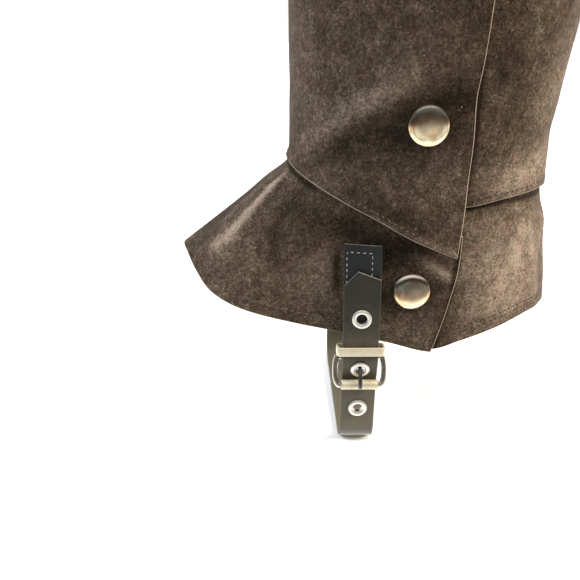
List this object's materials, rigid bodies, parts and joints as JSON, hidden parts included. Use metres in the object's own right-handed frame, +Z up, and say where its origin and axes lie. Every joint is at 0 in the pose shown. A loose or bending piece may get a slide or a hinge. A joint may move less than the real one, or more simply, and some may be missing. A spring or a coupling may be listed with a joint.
{
  "type": "boot cover",
  "caption": "Worn suede boot cover: snapped shaft with a lapped flap, foot part flaring over the instep, and a buckled leather strap that passes under the arch.",
  "frame": {"origin": "middle of the ankle where the foot part joins the shaft", "axes": "+Z up the leg, -X toward the toe, +X toward the heel, -Y toward the side with the closure and the buckle"},
  "size_m": [0.2029, 0.1266, 0.3347],
  "materials": {
    "suede": "brown-taupe suede with a mottled nap",
    "strap_leather": "smooth black leather with a soft olive sheen and a pale raw edge",
    "base_leather": "smooth black leather with a white stitched box",
    "buckle_metal": "warm polished silver",
    "nickel": "bright nickel",
    "snap_metal": "polished gunmetal"
  },
  "bodies": {
    "root": {"shaft_front": "suede", "shaft_rear": "suede", "foot_front": "suede", "foot_rear": "suede", "strap": "strap_leather", "strap_base": "base_leather", "buckle_frame": "buckle_metal", "buckle_roller": "buckle_metal", "buckle_prong": "buckle_metal", "buckle_keeper": "buckle_metal", "eyelet_1": "nickel", "eyelet_2": "nickel", "eyelet_3": "nickel", "snap_cap_1": "snap_metal", "snap_cap_2": "snap_metal", "snap_cap_3": "snap_metal", "snap_cap_4": "snap_metal", "snap_back_1": "snap_metal", "snap_back_2": "snap_metal", "snap_back_3": "snap_metal", "snap_back_4": "snap_metal"}
  },
  "joints": []
}
